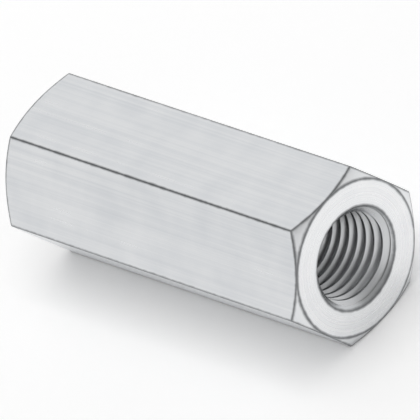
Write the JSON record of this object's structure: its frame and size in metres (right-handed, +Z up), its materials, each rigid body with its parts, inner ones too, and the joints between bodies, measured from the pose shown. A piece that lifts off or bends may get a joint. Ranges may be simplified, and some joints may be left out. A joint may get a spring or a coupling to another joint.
{
  "type": "coupling nut",
  "caption": "Long hexagon coupling nut, threaded right through with countersunk mouths and conical chamfered ends, that joins two threaded rods end to end.",
  "frame": {"origin": "on the thread axis, halfway along the nut", "axes": "+X along the thread axis, +Z up, square to the flat opposite the one the nut lies on"},
  "size_m": [0.0444, 0.02, 0.0174],
  "materials": {
    "plated_steel": "bright zinc plating over cold-drawn flats and turned ends"
  },
  "bodies": {
    "root": {"coupling_nut": "plated_steel"}
  },
  "joints": []
}
